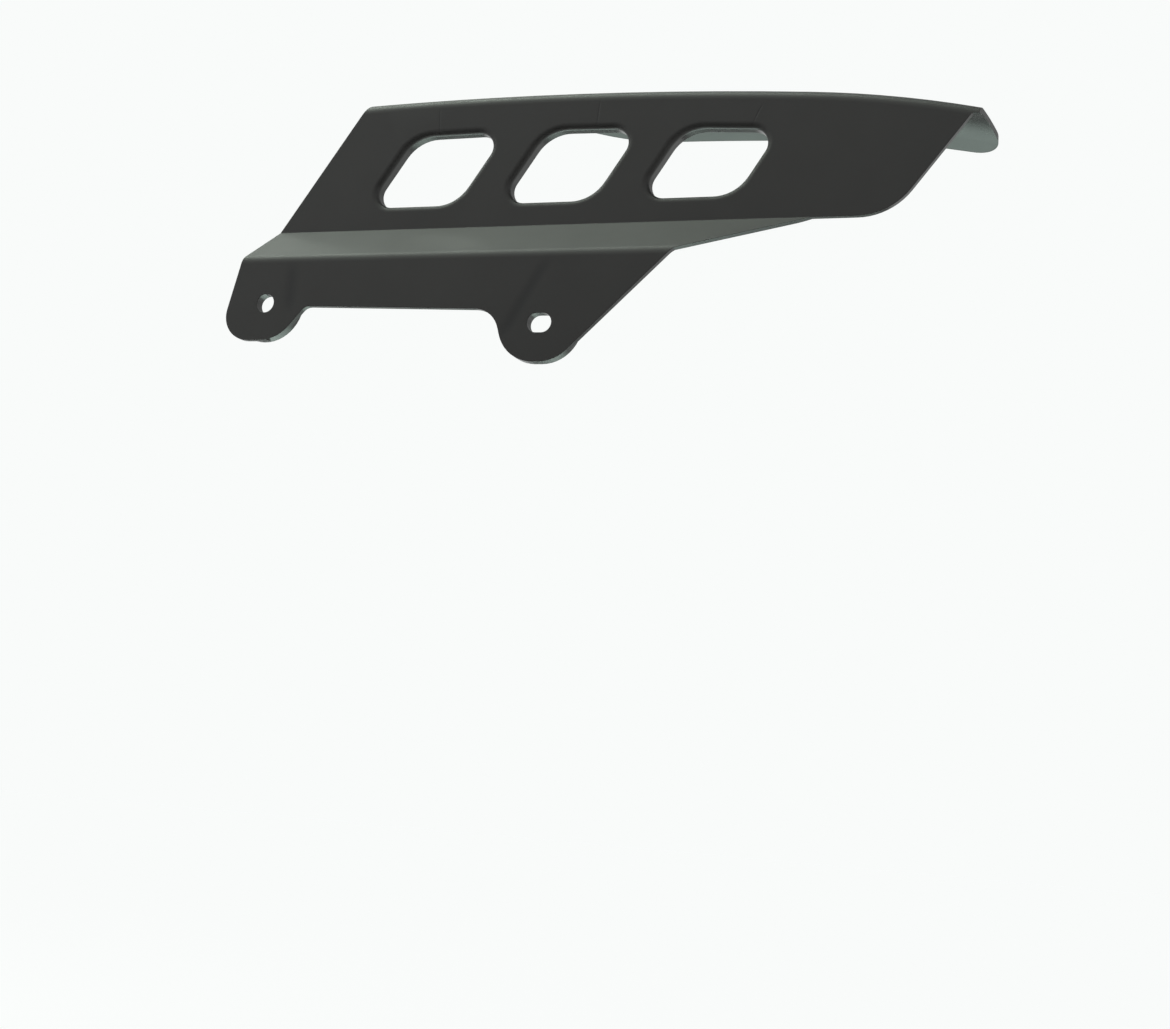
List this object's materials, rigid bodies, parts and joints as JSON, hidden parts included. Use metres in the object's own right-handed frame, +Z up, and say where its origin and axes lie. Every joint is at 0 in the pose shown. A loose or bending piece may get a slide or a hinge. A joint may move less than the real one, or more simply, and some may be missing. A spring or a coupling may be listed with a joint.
{
  "type": "motorcycle chain guard",
  "caption": "Moulded plastic chain guard: slotted upper panel with an arched, widening flange over the chain, a stepped ledge and a lower panel with two bolt ears.",
  "frame": {"origin": "axis of the round front bolt hole, on the boss face that seats on the swing arm", "axes": "+X to the rear along the guard, +Y from the outside in towards the chain, +Z up"},
  "size_m": [0.274, 0.0503, 0.1057],
  "materials": {
    "black_plastic": "fine matt mould grain"
  },
  "bodies": {
    "root": {"chain_guard": "black_plastic"}
  },
  "joints": []
}
